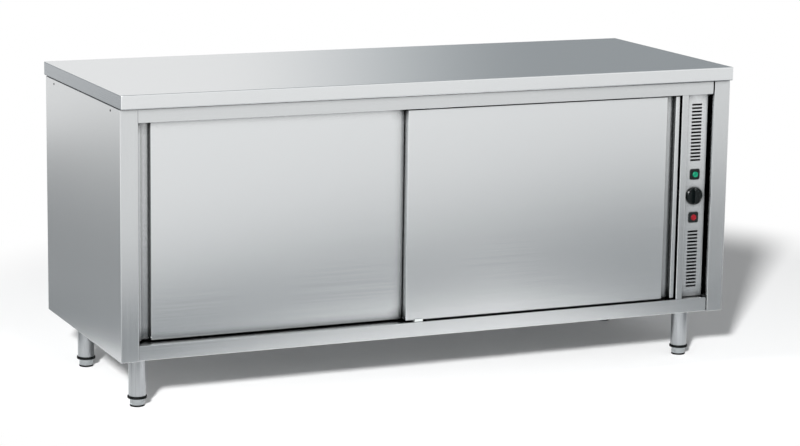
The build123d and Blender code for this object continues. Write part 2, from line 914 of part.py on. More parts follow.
nodes = {
    "worktop": worktop(),
    "worktop_board": worktop_board(),
    "worktop_stiffeners": worktop_stiffeners(),
    "left_side_panel": left_side_panel(),
    "right_side_panel": mirrored(left_side_panel()),
    "side_screws": side_screws(),
    "upper_rail": upper_rail(),
    "lower_rail": lower_rail(),
    "base_pan": base_pan(),
    "back_panel": back_panel(),
    "left_liner": left_liner(),
    "back_liner": back_liner(),
    "ceiling_liner": ceiling_liner(),
    "insulation": insulation(),
    "door_track": door_track(),
    "door_guide": door_guide(),
    "door_jamb": door_jamb(),
    "partition": partition(),
    "control_panel": control_panel(),
    "power_button_housing": switch_housing(1),
    "power_button": power_button(),
    "heating_lamp_housing": switch_housing(-1),
    "heating_lamp_lens": heating_lamp_lens(),
    "thermostat": thermostat(),
    "thermostat_stem": thermostat_stem(),
    "thermostat_knob": thermostat_knob(),
    "middle_shelf": middle_shelf(),
    "shelf_strips": shelf_strips(),
    "shelf_clips": shelf_clips(),
    "fan_housing": fan_housing(),
    "fan_motor": fan_motor(),
    "fan_wheel": fan_wheel(),
    "heating_element": heating_element(),
    "cable_gland": cable_gland(),
    "leg_plates": leg_plates(),
    "leg_bushes": leg_bushes(),
}
nodes |= door_nodes("left", x_left_door, y_left_door, x_left_door, 1)
nodes |= door_nodes("right", x_right_door, y_right_door, x_right_door + door_width, -1)
for corner, place in leg_places.items():
    nodes["leg_" + corner] = leg_tube(*place)
    nodes["foot_" + corner] = foot(*place)
    nodes["foot_pad_" + corner] = foot_pad(*place)

for name, shape in nodes.items():
    export_step(shape, f"parts/{name}.step")
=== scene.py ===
import json
import math

import bmesh
import bpy
from mathutils import Matrix, Vector


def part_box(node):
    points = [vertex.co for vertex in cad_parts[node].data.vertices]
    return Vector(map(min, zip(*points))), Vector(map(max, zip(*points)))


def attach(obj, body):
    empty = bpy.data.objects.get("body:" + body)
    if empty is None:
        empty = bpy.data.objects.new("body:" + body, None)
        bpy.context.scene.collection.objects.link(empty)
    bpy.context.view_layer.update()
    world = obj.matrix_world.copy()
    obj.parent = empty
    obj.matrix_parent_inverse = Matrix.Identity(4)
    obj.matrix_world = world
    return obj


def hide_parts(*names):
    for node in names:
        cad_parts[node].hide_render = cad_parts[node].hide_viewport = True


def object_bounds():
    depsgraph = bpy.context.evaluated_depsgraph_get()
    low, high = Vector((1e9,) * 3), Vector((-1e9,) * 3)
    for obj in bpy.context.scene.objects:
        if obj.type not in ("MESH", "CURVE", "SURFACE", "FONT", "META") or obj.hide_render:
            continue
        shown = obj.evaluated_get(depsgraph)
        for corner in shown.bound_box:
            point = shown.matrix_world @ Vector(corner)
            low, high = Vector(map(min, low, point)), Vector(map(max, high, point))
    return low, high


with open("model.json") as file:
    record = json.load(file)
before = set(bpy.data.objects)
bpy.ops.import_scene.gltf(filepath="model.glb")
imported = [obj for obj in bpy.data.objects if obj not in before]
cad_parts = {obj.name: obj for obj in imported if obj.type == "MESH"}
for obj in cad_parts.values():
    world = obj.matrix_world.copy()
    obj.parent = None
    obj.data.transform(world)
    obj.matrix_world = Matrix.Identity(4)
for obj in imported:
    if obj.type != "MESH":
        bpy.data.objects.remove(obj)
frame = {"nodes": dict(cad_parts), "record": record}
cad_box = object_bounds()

# ---- Side panels ----
# Each end wall, its front post and the fold behind the doors are one stainless sheet, bent on a
# press brake, so the outer corners are rounded by about two sheet thicknesses and the brushed
# grain runs upwards round all of them.


def colour(code):
    """A linear colour from sRGB hex."""
    channels = [int(code[i:i + 2], 16) / 255 for i in (1, 3, 5)]
    linear = [c / 12.92 if c <= 0.04045 else ((c + 0.055) / 1.055) ** 2.4 for c in channels]
    return linear + [1.0]


def add(tree, kind, settings=None, links=None):
    """Adds a node. Settings name its properties or sockets, links give a socket's source."""
    node = tree.nodes.new(kind)
    for key, value in (settings or {}).items():
        if isinstance(key, str) and hasattr(node, key):
            setattr(node, key, value)
        else:
            node.inputs[key].default_value = value
    for key, source in (links or {}).items():
        tree.links.new(source, node.inputs[key])
    return node


def new_material(name, surface):
    """A material, its tree, its shader with these settings, and the object's coordinates."""
    material = bpy.data.materials.new(name)
    material.use_nodes = True
    tree = material.node_tree
    shader = tree.nodes["Principled BSDF"]
    for socket, value in surface.items():
        shader.inputs[socket].default_value = value
    place = add(tree, "ShaderNodeTexCoord").outputs["Object"]
    return material, tree, shader, place


def pattern(tree, place, across, along, axis, detail=2.0):
    """Noise drawn out along one axis: across and along are its real sizes in millimetres."""
    scale = [1000 / across] * 3
    scale["XYZ".index(axis)] = 1000 / along
    stretched = add(tree, "ShaderNodeMapping", {"Scale": scale}, {"Vector": place}).outputs[0]
    noise = {"Scale": 1.0, "Detail": detail}
    return add(tree, "ShaderNodeTexNoise", noise, {"Vector": stretched}).outputs["Fac"]


noise_low, noise_high = 0.3, 0.7  # nearly all of a noise lies between these


def between(tree, factor, low, high):
    """A number that follows a noise from low to high."""
    spread = {"From Min": noise_low, "From Max": noise_high, "To Min": low, "To Max": high}
    return add(tree, "ShaderNodeMapRange", spread, {"Value": factor}).outputs[0]


def two_tone(tree, factor, first, second):
    """A colour between two hex colours."""
    ends = {"data_type": "RGBA", 6: colour(first), 7: colour(second)}
    return add(tree, "ShaderNodeMix", ends, {0: factor}).outputs[2]


def raised(tree, shader, height, depth_mm):
    """Bump of a real depth in millimetres."""
    relief = {"Strength": 1.0, "Distance": depth_mm / 1000}
    bump = add(tree, "ShaderNodeBump", relief, {"Height": height}).outputs[0]
    tree.links.new(bump, shader.inputs["Normal"])


# Painted shade in gaps: how far away, in millimetres, a wall darkens a place, and the openness
# where the painted shade is darkest and where it ends.
gap_reach, gap_darkest, gap_unshaded = 45.0, 0.4, 0.82


def dull_in_gaps(tree, tone):
    """Painted shade: a tone that falls to near black in gaps and inner corners, where the light is
    cut off.
    """
    around = {"samples": 6, "Distance": gap_reach / 1000}
    openness = add(tree, "ShaderNodeAmbientOcclusion", around).outputs["AO"]
    spread = {"From Min": gap_darkest, "From Max": gap_unshaded}
    clear = add(tree, "ShaderNodeMapRange", spread, {"Value": openness}).outputs[0]
    shade_tone = {"data_type": "RGBA", 6: colour("#0A1010")}
    return add(tree, "ShaderNodeMix", shade_tone, {0: clear, 7: tone}).outputs[2]


scratch_spacing, scratch_length, scratch_depth = 2.0, 500.0, 0.0015


def brushed_stainless(name, axis, darker, lighter, smooth, rough):
    """Grade 304 ground with a 240-grit belt: a soft sheen, drawn out across the grain.

    The real scratches are 0.1 mm apart; they are drawn 2 mm apart so that they show.
    """
    material, tree, shader, place = new_material(name, {"Metallic": 1.0, "Anisotropic": 0.6})
    scratches = pattern(tree, place, scratch_spacing, scratch_length, axis, 3.0)
    # Painted shade: the steel's tone darkens to near black in gaps and inner corners.
    tone = dull_in_gaps(tree, two_tone(tree, scratches, darker, lighter))
    tree.links.new(tone, shader.inputs["Base Color"])
    tree.links.new(between(tree, scratches, smooth, rough), shader.inputs["Roughness"])
    raised(tree, shader, scratches, scratch_depth)
    across = {"direction_type": "UV_MAP", "uv_map": "across_grain"}
    tangent = add(tree, "ShaderNodeTangent", across).outputs[0]
    tree.links.new(tangent, shader.inputs["Tangent"])
    return material


steel = {
    axis: brushed_stainless("brushed_stainless_" + axis.lower(), axis, darker, lighter, 0.20, 0.23)
    for axis, darker, lighter in (("X", "#DADCDD", "#E1E3E4"), ("Z", "#CDCFD0", "#D5D7D8"))
}
body_of = {
    node: body for body, nodes in frame["record"]["behaviour"]["bodies"].items() for node in nodes
}


def seat(piece, *nodes):
    """The piece stands for these CAD nodes and moves with the first one's body."""
    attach(piece, body_of[nodes[0]])
    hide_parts(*nodes)
    return piece


def new_object(name, data):
    """An object in the scene, at the origin."""
    thing = bpy.data.objects.new(name, data)
    bpy.context.scene.collection.objects.link(thing)
    return thing


def new_piece(name, mesh, material):
    """A visible piece with this mesh and material."""
    piece = new_object(name, mesh)
    piece.data.materials.clear()
    piece.data.materials.append(material)
    return piece


def mesh_of(thing):
    """The mesh that an object's modifiers or letters make."""
    graph = bpy.context.evaluated_depsgraph_get()
    return bpy.data.meshes.new_from_object(thing.evaluated_get(graph), depsgraph=graph)


def settle(piece):
    """Turns what the modifiers make into the piece's own mesh, and removes them."""
    mesh = mesh_of(piece)
    piece.modifiers.clear()
    piece.data = mesh
    return piece


least_grain = 0.2  # a face whose share of the grain is smaller gets a direction of its own


def map_grain(mesh, axis):
    """A UV map whose U runs across the grain, for the shader's tangent."""
    along = Vector([float(a == axis) for a in "XYZ"])
    uv = (mesh.uv_layers.get("across_grain") or mesh.uv_layers.new(name="across_grain")).uv
    for face in mesh.polygons:
        grain = along - along.dot(face.normal) * face.normal
        if grain.length < least_grain:
            upright = Vector((0, 0, 1))
            grain = face.normal.cross(upright) if axis == "X" else face.normal.orthogonal()
        grain.normalize()
        across = face.normal.cross(grain)
        for loop in face.loop_indices:
            co = mesh.vertices[mesh.loops[loop].vertex_index].co
            uv[loop].vector = (co.dot(across), co.dot(grain))


def width_of(face):
    """A face's mean width, small on the cut edge of a sheet."""
    return 2 * face.calc_area() / face.calc_perimeter()


def flat_shaded(piece):
    """Lets the large faces set the shading, so that a flat stays flat beside its bends."""
    flat = piece.modifiers.new("flat faces", "WEIGHTED_NORMAL")
    flat.weight = 100
    flat.keep_sharp = True
    settle(piece)


weld, flat_angle = 0.01, 0.5  # millimetres between joined points, degrees within one flat
fold_angle, cut_angle = 40.0, 35.0  # degrees from which an edge is a fold, and is shaded sharp


def dressed(node, material, axis="X", bend=2.0, thinnest=3.0, segments=3):
    """A CAD piece with its outer folds rounded by a bend radius in millimetres.

    Only convex edges between faces wider than the thinnest are folds; a sheet's cut edges aren't.
    """
    mesh = frame["nodes"][node].data.copy()
    shape = bmesh.new()
    shape.from_mesh(mesh)
    bmesh.ops.remove_doubles(shape, verts=shape.verts, dist=weld / 1000)
    bmesh.ops.dissolve_limit(
        shape, angle_limit=math.radians(flat_angle), verts=shape.verts, edges=shape.edges
    )
    weight = shape.edges.layers.float.new("bevel_weight_edge")
    for edge in shape.edges:
        if len(edge.link_faces) == 2 and edge.calc_face_angle_signed() > math.radians(fold_angle):
            if min(width_of(face) for face in edge.link_faces) > thinnest / 1000:
                edge[weight] = 1.0
    shape.to_mesh(mesh)
    shape.free()
    mesh.shade_smooth()
    mesh.set_sharp_from_angle(angle=math.radians(cut_angle))
    piece = new_piece(node + ".dressed", mesh, material)
    fold = piece.modifiers.new("fold", "BEVEL")
    fold.limit_method = "WEIGHT"
    fold.width = bend / 1000
    fold.segments = segments
    fold.use_clamp_overlap = False
    flat_shaded(piece)
    map_grain(piece.data, axis)
    return seat(piece, node)


for side in ("left", "right"):
    dressed(side + "_side_panel", steel["Z"], bend=1.4)

# ---- Front rails ----
# Two stainless channels between the posts, one over the doors and one under them. The lower one
# ends in the sill that the doors pass over, and both are ground along their length.

rail_steel = brushed_stainless("brushed_stainless_rail", "X", "#CDCFD0", "#D6D8D9", 0.20, 0.23)
for rail in ("upper_rail", "lower_rail"):
    dressed(rail, rail_steel, bend=1.4)

# ---- Side screws ----
# Near-black M4 pan-head screws hold the worktop's frame to the end walls. Each head is a low dome
# with a cross recess.


def repeat_tree():
    """Copies of one piece, each a step and a turn on from the last."""
    tree = bpy.data.node_groups.new("repeated_copies", "GeometryNodeTree")
    sockets = {"Copy": "Object", "Count": "Int", "Start": "Vector", "Step": "Vector"}
    sockets |= {"Turn": "Vector", "Finish": "Material"}
    for name, kind in sockets.items():
        tree.interface.new_socket(name, in_out="INPUT", socket_type="NodeSocket" + kind)
    tree.interface.new_socket("Geometry", in_out="OUTPUT", socket_type="NodeSocketGeometry")
    given = add(tree, "NodeGroupInput").outputs
    number = add(tree, "GeometryNodeInputIndex").outputs[0]
    scale = {"operation": "SCALE"}
    turn, move = (
        add(tree, "ShaderNodeVectorMath", scale, {0: given[way], "Scale": number}).outputs[0]
        for way in ("Turn", "Step")
    )
    place = add(tree, "ShaderNodeVectorMath", {"operation": "ADD"}, {0: given["Start"], 1: move})
    along = {"Count": given["Count"], "Position": place.outputs[0]}
    points = add(tree, "GeometryNodePoints", None, along).outputs[0]
    copy = add(tree, "GeometryNodeObjectInfo", None, {"Object": given["Copy"]}).outputs["Geometry"]
    placed = {"Points": points, "Instance": copy, "Rotation": turn}
    copies = add(tree, "GeometryNodeInstanceOnPoints", None, placed).outputs[0]
    solid = add(tree, "GeometryNodeRealizeInstances", None, {"Geometry": copies}).outputs[0]
    finish = {"Geometry": solid, "Material": given["Finish"]}
    coated = add(tree, "GeometryNodeSetMaterial", None, finish).outputs[0]
    add(tree, "NodeGroupOutput", None, {"Geometry": coated})
    return tree


copies_by_step = repeat_tree()


def repeated(name, copy, count, start, step=(0, 0, 0), turn=(0, 0, 0)):
    """One mesh of evenly placed copies: start and step in metres, turn in degrees."""
    material = copy.data.materials[0]
    piece = new_piece(name, bpy.data.meshes.new(name), material)
    modifier = piece.modifiers.new("copies", "NODES")
    modifier.node_group = copies_by_step
    values = {"Copy": copy, "Count": count, "Finish": material, "Start": start, "Step": step}
    values["Turn"] = [math.radians(v) for v in turn]
    for socket in copies_by_step.interface.items_tree:
        if socket.name in values:
            modifier[socket.identifier] = values[socket.name]
    settle(piece)
    bpy.data.objects.remove(copy)
    return piece


def facing(axis):
    """The turn that takes a shape made along +Z to a world direction."""
    return Vector(axis).to_track_quat("Z", "Y").to_matrix().to_4x4()


def soften(piece, radius, angle, segments):
    """Rounds corners sharper than an angle in degrees by a radius in millimetres."""
    rounding = piece.modifiers.new("soft corners", "BEVEL")
    rounding.limit_method = "ANGLE"
    rounding.angle_limit = math.radians(angle)
    rounding.width = radius / 1000
    rounding.segments = segments
    rounding.harden_normals = True
    settle(piece)


sharp_angle, fine_weld = 32.0, 0.001  # degrees of a corner, millimetres between joined points


def finish_mesh(shape, name, material, soft=0.0, axis=None, segments=2):
    """A piece from a bmesh, its sharp corners softened by so many millimetres."""
    bmesh.ops.remove_doubles(shape, verts=shape.verts, dist=fine_weld / 1000)
    bmesh.ops.recalc_face_normals(shape, faces=shape.faces)
    mesh = bpy.data.meshes.new(name)
    shape.to_mesh(mesh)
    shape.free()
    mesh.shade_smooth()
    mesh.set_sharp_from_angle(angle=math.radians(sharp_angle))
    piece = new_piece(name, mesh, material)
    if soft:
        soften(piece, soft, sharp_angle, segments)
    if axis:
        map_grain(piece.data, axis)
    return piece


def revolve(shape, outline, axis, steps):
    """Spins an outline right round an axis through the origin."""
    bmesh.ops.spin(
        shape, geom=outline, axis=axis, cent=(0, 0, 0), angle=math.tau, steps=steps, use_merge=True
    )


def turned(name, profile, place, direction, material, steps=48, axis=None):
    """A lathe-turned piece. The profile is (radius, height) in millimetres up its axis."""
    shape = bmesh.new()
    corners = [shape.verts.new((r / 1000, 0, h / 1000)) for r, h in profile]
    outline = [shape.edges.new(pair) for pair in zip(corners, corners[1:])]
    revolve(shape, corners + outline, (0, 0, 1), steps)
    shape.transform(Matrix.Translation(Vector(place)) @ facing(direction))
    return finish_mesh(shape, name, material, axis=axis)


def block(shape, low, high):
    """A box in a bmesh, between two corners in metres."""
    low, high = Vector(low), Vector(high)
    size = Matrix.Diagonal(high - low).to_4x4()
    bmesh.ops.create_cube(shape, size=1.0, matrix=Matrix.Translation((low + high) / 2) @ size)


def cut(piece, tool):
    """Takes the tool's shape out of the piece."""
    difference = piece.modifiers.new("cut", "BOOLEAN")
    difference.operation = "DIFFERENCE"
    difference.solver = "EXACT"
    difference.use_self = True
    difference.object = tool
    settle(piece)
    bpy.data.objects.remove(tool)
    return piece


def follow(tree, shader, factor, tones, roughness=None, depth_mm=None):
    """Lets one pattern set a finish's tone and, where given, its roughness and its relief."""
    tree.links.new(two_tone(tree, factor, *tones), shader.inputs["Base Color"])
    if roughness:
        tree.links.new(between(tree, factor, *roughness), shader.inputs["Roughness"])
    if depth_mm:
        raised(tree, shader, factor, depth_mm)


def patterned(name, surface, grain, tones, roughness=None, depth_mm=None):
    """A finish that follows a noise, given by its sizes across and along, its axis and detail."""
    material, tree, shader, place = new_material(name, surface)
    follow(tree, shader, pattern(tree, place, *grain), tones, roughness, depth_mm)
    return material


def plated(name, tones, roughness):
    """Plated steel: a cool, slightly uneven sheen, with blooms of about 9 mm."""
    return patterned(name, {"Metallic": 1.0}, (9.0, 9.0, "Z"), tones, roughness, 0.01)


near_black = plated("blackened_steel", ("#070909", "#0D0F10"), (0.5, 0.6))
screw_radius, screw_height = 3.0, 0.9
# From the rim inwards: the share of the radius and the height.
screw_outline = ((1.0, 0), (1.0, 0.3), (0.8, 0.7), (0.4, screw_height), (0, screw_height))
recess_length, recess_width, recess_depth = 3.6, 0.8, 0.6


def low_head(name, radius, outline, direction, material, steps):
    """The head of a screw or rivet, standing on the origin."""
    profile = [(0, 0)] + [(radius * share, height) for share, height in outline]
    return turned(name, profile, (0, 0, 0), direction, material, steps)


def screw_head(name, direction, material):
    """A pan head with a cross recess."""
    head = low_head(name, screw_radius, screw_outline, (0, 0, 1), material, 24)
    cross = bmesh.new()
    for reach in ((recess_length, recess_width), (recess_width, recess_length)):
        half = [r / 2000 for r in reach]
        low = (-half[0], -half[1], (screw_height - recess_depth) / 1000)
        block(cross, low, (half[0], half[1], screw_height / 500))
    cut(head, finish_mesh(cross, name + ".recess", material))
    head.data.transform(facing(direction))
    return head


screws_low, screws_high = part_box("side_screws")
z_screws = (screws_low.z + screws_high.z) / 2
screw_step = screws_high.y - screws_low.y - 2 * screw_radius / 1000
for side, outwards in (("left", -1), ("right", 1)):
    head = screw_head("screw_" + side, (outwards, 0, 0), near_black)
    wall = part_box(side + "_side_panel")
    x_wall = wall[0].x if outwards < 0 else wall[1].x
    start = (x_wall, screws_low.y + screw_radius / 1000, z_screws)
    screws = repeated(side + "_screws", head, 2, start, (0, screw_step, 0))
    seat(screws, "side_screws")

# ---- Worktop ----
# A stainless pan turned upside down: its edges are folded down and back under, and its corners are
# welded and ground round. The top is ground along its length. The two ends have a darker copy of
# the same steel, which is painted shade.

edge_radius, top_hem, top_sheet = 3.0, 11.0, 1.2
end_slope = 0.8  # how squarely a face looks left or right to get the ends' painted shade


def round_edges(shape, edges, radius, segments):
    """Rounds these edges of a bmesh by a radius in metres."""
    bmesh.ops.bevel(
        shape, geom=edges, offset=radius, segments=segments, profile=0.5, affect="EDGES"
    )


def folded_pan(node, material, radius, hem, sheet, axis="X", segments=6):
    """A sheet folded down on four sides and in underneath."""
    shape = bmesh.new()
    block(shape, *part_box(node))
    round_edges(shape, shape.edges[:], radius / 1000, segments)
    underside = min(shape.faces, key=lambda face: face.calc_center_median().z)
    bmesh.ops.inset_individual(shape, faces=[underside], thickness=(hem - radius) / 1000)
    bmesh.ops.delete(shape, geom=[underside], context="FACES")
    piece = finish_mesh(shape, node + "_pan", material)
    wall = piece.modifiers.new("sheet", "SOLIDIFY")
    wall.thickness = sheet / 1000
    wall.offset = -1
    wall.use_even_offset = True
    flat_shaded(piece)
    map_grain(piece.data, axis)
    return seat(piece, node)


worktop = folded_pan("worktop", steel["X"], edge_radius, top_hem, top_sheet)
# Painted shade: the two end faces get a darker copy of the same steel.
shaded_end_steel = brushed_stainless("brushed_stainless_end", "Y", "#989DA1", "#A4A9AD", 0.24, 0.28)
worktop.data.materials.append(shaded_end_steel)
x_end_inside = cad_box[1].x - 2 * top_sheet / 1000
for face in worktop.data.polygons:
    if abs(face.normal.x) > end_slope and abs(face.center.x) > x_end_inside:
        face.material_index = 1

# ---- Under the worktop ----
# A chipboard glued to the sheet stops it from drumming, and three galvanised hat sections carry
# the load across to the body.


def finished(node, material):
    """A CAD piece kept as it is, in its real finish."""
    part = frame["nodes"][node]
    part.data.materials.clear()
    part.data.materials.append(material)
    return part


def celled(name, surface, size_mm, output, tones, roughness=None, depth_mm=None):
    """A finish that follows cells of a real size."""
    material, tree, shader, place = new_material(name, surface)
    cells = add(tree, "ShaderNodeTexVoronoi", {"Scale": 1000 / size_mm}, {"Vector": place})
    follow(tree, shader, cells.outputs[output], tones, roughness, depth_mm)
    return material


def chipboard():
    """Raw chipboard: straw-coloured flakes of 3 mm pressed in a darker binder."""
    tones = ("#C9AD7E", "#8F7249")
    return celled("raw_chipboard", {"Roughness": 0.9}, 3.0, "Distance", tones, depth_mm=0.2)


def galvanised_sheet():
    """Hot-dipped zinc on steel sheet: dull grey with faint crystals of about 12 mm."""
    tones = ("#9DA1A4", "#B4B8BA")
    return celled("galvanised_sheet", {"Metallic": 1.0}, 12.0, "Color", tones, (0.38, 0.5))


galvanised = galvanised_sheet()
finished("worktop_board", chipboard())
dressed("worktop_stiffeners", galvanised, bend=1.2)

# ---- Back panel ----
# The outer back is one stainless sheet between the end walls' folds, held there by two rows of
# 4 mm dome-head rivets.

rivet_count, rivet_radius, rivet_margin, rivet_inset = 7, 3.8, 50.0, 11.0
# As for the screws, with the pin's dimple last.
rivet_outline = ((1.0, 0), (0.92, 0.45), (0.6, 0.85), (0.3, 1.0), (0.24, 0.8), (0, 0.8))


def add_on(piece, node):
    """The piece is fixed to this CAD node's body."""
    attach(piece, body_of[node])
    return piece


zinc = plated("zinc_plated_steel", ("#8E9295", "#A9ADB0"), (0.32, 0.48))
dressed("back_panel", steel["X"])
for side, inwards in (("left", 1), ("right", -1)):
    wall_low, wall_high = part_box(side + "_side_panel")
    rivet = low_head(side + "_rivet", rivet_radius, rivet_outline, (0, 1, 0), zinc, 20)
    x_rivets = (wall_low.x if inwards > 0 else wall_high.x) + inwards * rivet_inset / 1000
    start = (x_rivets, wall_high.y, wall_low.z + rivet_margin / 1000)
    rise = (wall_high.z - wall_low.z - 2 * rivet_margin / 1000) / (rivet_count - 1)
    rivets = repeated(side + "_rivets", rivet, rivet_count, start, (0, 0, rise))
    add_on(rivets, "back_panel")

# ---- Heated space ----
# The liners, the floor pan and the wall of the fan's compartment are stainless sheet left as it
# was rolled, with mineral wool between them and the outer skin.


def rolled_stainless():
    """Grade 304 sheet in the mill's 2B finish: milky, even, with faint rolling lines."""
    lines, tones = (8.0, 600.0, "X"), ("#B2B4B5", "#BEC0C1")
    return patterned("rolled_stainless", {"Metallic": 1.0}, lines, tones, (0.32, 0.38), 0.004)


def mineral_wool():
    """Pressed rock fibre: yellow-green, matt, with a felted surface of 2 mm fibres."""
    fibres, tones = (2.0, 14.0, "X", 4.0), ("#8C8450", "#C9BE86")
    return patterned("mineral_wool", {"Roughness": 1.0}, fibres, tones, depth_mm=1.5)


rolled = rolled_stainless()
for node in ("base_pan", "left_liner", "back_liner", "ceiling_liner", "partition"):
    dressed(node, rolled, bend=1.2)
finished("insulation", mineral_wool())

# ---- Door track and guide ----
# The doors hang in one double channel of extruded aluminium. At the sill a bracket of light grey
# nylon, with a fin on each side of each door, keeps them upright.


def moulded(name, tones, roughness, grain_mm=1.2, depth_mm=0.02, gloss=0.5):
    """A moulded plastic or rubber: two near tones and the tool's spark-eroded grain."""
    surface = {"Specular IOR Level": gloss}
    return patterned(name, surface, (grain_mm, grain_mm, "Z", 3.0), tones, roughness, depth_mm)


def extruded_aluminium():
    """Aluminium as it leaves the die: soft grey, with fine lines along its length."""
    lines, tones = (1.5, 900.0, "X"), ("#B9BBBD", "#C8CACC")
    return patterned("extruded_aluminium", {"Metallic": 1.0}, lines, tones, (0.34, 0.44), 0.01)


# Grey polyamide: satin.
grey_nylon = moulded("grey_nylon", ("#A9ADAC", "#B7BBBA"), (0.4, 0.55))
for node, material in (("door_track", extruded_aluminium()), ("door_guide", grey_nylon)):
    dressed(node, material, bend=0.5, thinnest=1.2, segments=2)

# ---- Doors ----
# Each door is a folded stainless skin, ground along its length, over an insulating board, with a
# rolled sheet behind. The upright channel near its outer end is the handle, pressed in the skin.


def foam_board():
    """Rigid foam board: cream, closed cells of about 1 mm."""
    tones = ("#E2D7B4", "#C9BC93")
    return celled("rigid_foam", {"Roughness": 0.85}, 1.0, "Distance", tones, depth_mm=0.3)


foam = foam_board()
for side in ("left", "right"):
    dressed(side + "_door_skin", steel["X"], bend=1.6)
    finished(side + "_door_core", foam)
    dressed(side + "_door_liner", rolled, bend=0.5)

# ---- Door hangers and rollers ----
# Two zinc-plated brackets stand on each door, and each carries a pair of nylon wheels moulded on
# one axle, which run on the track's lips.

wheel_radius, axle_radius, spacer_radius = 10.0, 3.0, 5.0
wheel_inside, wheel_outside, spacer_inside = 3.0, 10.0, 1.55
rim_round, web_depth, web_inner, web_outer = 0.6, 1.2, 4.0, 7.6
web, rim = wheel_outside - web_depth, wheel_radius - rim_round
half_roller = [(0, wheel_outside), (web_inner - rim_round, wheel_outside), (web_inner, web)]
half_roller += [(web_outer, web), (web_outer + rim_round, wheel_outside), (rim, wheel_outside)]
half_roller += [(wheel_radius, wheel_outside - rim_round)]
half_roller += [(wheel_radius, wheel_inside + rim_round), (rim, wheel_inside)]
half_roller += [(spacer_radius, wheel_inside), (spacer_radius, spacer_inside)]
half_roller += [(axle_radius, spacer_inside)]
roller_outline = half_roller + [(r, -h) for r, h in reversed(half_roller)]
# White polyamide: faintly warm and waxy.
white_nylon = moulded("white_nylon", ("#D9D6CC", "#E6E3DA"), (0.4, 0.55))
for side in ("left", "right"):
    dressed(side + "_door_hangers", zinc, bend=0.8, thinnest=1.5)
    for number in (1, 2):
        node = f"{side}_door_roller_{number}"
        roller_low, roller_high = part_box(node)
        middle = (roller_low + roller_high) / 2
        seat(turned(node + ".turned", roller_outline, middle, (0, 1, 0), white_nylon), node)

# ---- Control column ----
# A bent jamb ends the doorway, and beside it a slotted stainless plate is set back between the
# jamb and the right-hand post. The slots let the fan's compartment breathe.

dressed("door_jamb", steel["Z"])
dressed("control_panel", steel["X"], bend=1.2)

# ---- Button and lamp ----
# A push-button and an indicator lamp snap into square holes. Both have a black nylon bezel and
# body; the button is a dished green cap and the lamp a red lens with moulded rings.

bezel_size, bezel_height, bezel_radius, bezel_soft, bezel_angle = 30.0, 2.5, 5.0, 0.6, 50.0
switch_body, body_soft, switch_bore, bore_depth, bore_lead = 25.0, 0.8, 8.55, 12.0, 1.0

# Black polyamide: satin.
black_nylon = moulded("black_nylon", ("#060A0A", "#0C1213"), (0.38, 0.5), gloss=0.25)


def cylinder(shape, radius, length, segments=64, place=Matrix()):
    """A closed cylinder or prism up +Z from its place, in millimetres."""
    bmesh.ops.create_cone(
        shape,
        cap_ends=True,
        segments=segments,
        radius1=radius / 1000,
        radius2=radius / 1000,
        depth=length / 1000,
        matrix=place @ Matrix.Translation((0, 0, length / 2000)),
    )


def round_front_corners(shape, radius, segments):
    """Rounds a block as seen from the front, by a radius in metres."""
    edges = [e for e in shape.edges if e.verts[0].co.y != e.verts[1].co.y]
    round_edges(shape, edges, radius, segments)


def switch_housing(node):
    """A square bezel with round corners on a square body, bored for its cap or lens."""
    low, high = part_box(node)
    x, z = (low.x + high.x) / 2, (low.z + high.z) / 2
    half, inner = bezel_size / 2000, switch_body / 2000
    y_back = low.y + bezel_height / 1000
    shape = bmesh.new()
    block(shape, (x - half, low.y, z - half), (x + half, y_back, z + half))
    round_front_corners(shape, bezel_radius / 1000, 6)
    bezel = finish_mesh(shape, node + ".bezel", black_nylon)
    body = bmesh.new()
    block(body, (x - inner, y_back, z - inner), (x + inner, high.y, z + inner))
    behind = finish_mesh(body, node + ".body", black_nylon, soft=body_soft)
    bore_place = Matrix.Translation((x, low.y - bore_lead / 1000, z)) @ facing((0, 1, 0))
    for part in (bezel, behind):
        bore = bmesh.new()
        cylinder(bore, switch_bore, bore_depth + bore_lead, place=bore_place)
        cut(part, finish_mesh(bore, node + ".bore", black_nylon))
    soften(bezel, bezel_soft, bezel_angle, 3)
    seat(bezel, node)
    add_on(behind, node)


for node in ("power_button_housing", "heating_lamp_housing"):
    switch_housing(node)


def lens_plastic(name, deep, bright):
    """Translucent polycarbonate: a strong colour, deeper at the edge, with a glossy skin."""
    surface = {"Roughness": 0.35, "Specular IOR Level": 0.25, "Coat Weight": 0.1}
    material, tree, shader, place = new_material(name, surface)
    cloud = pattern(tree, place, 6.0, 6.0, "Z", 1.0)
    edge = add(tree, "ShaderNodeLayerWeight", {"Blend": 0.35}).outputs["Facing"]
    mixed = add(tree, "ShaderNodeMath", {"operation": "ADD"}, {0: edge, 1: cloud}).outputs[0]
    tone = two_tone(tree, between(tree, mixed, 0.0, 1.0), bright, deep)
    tree.links.new(tone, shader.inputs["Base Color"])
    raised(tree, shader, cloud, 0.01)
    return material


def lamp_cap(node, material, face):
    """A round cap or lens; the face is its (radius, drop) outline from the rim inwards."""
    low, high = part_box(node)
    depth = (high.y - low.y) * 1000
    radius = (high.x - low.x) * 500
    outline = [(0, 0), (radius, 0)] + [(r * radius, depth - drop) for r, drop in face]
    place = ((low.x + high.x) / 2, high.y, (low.z + high.z) / 2)
    return seat(turned(node + ".moulded", outline, place, (0, -1, 0), material, steps=64), node)


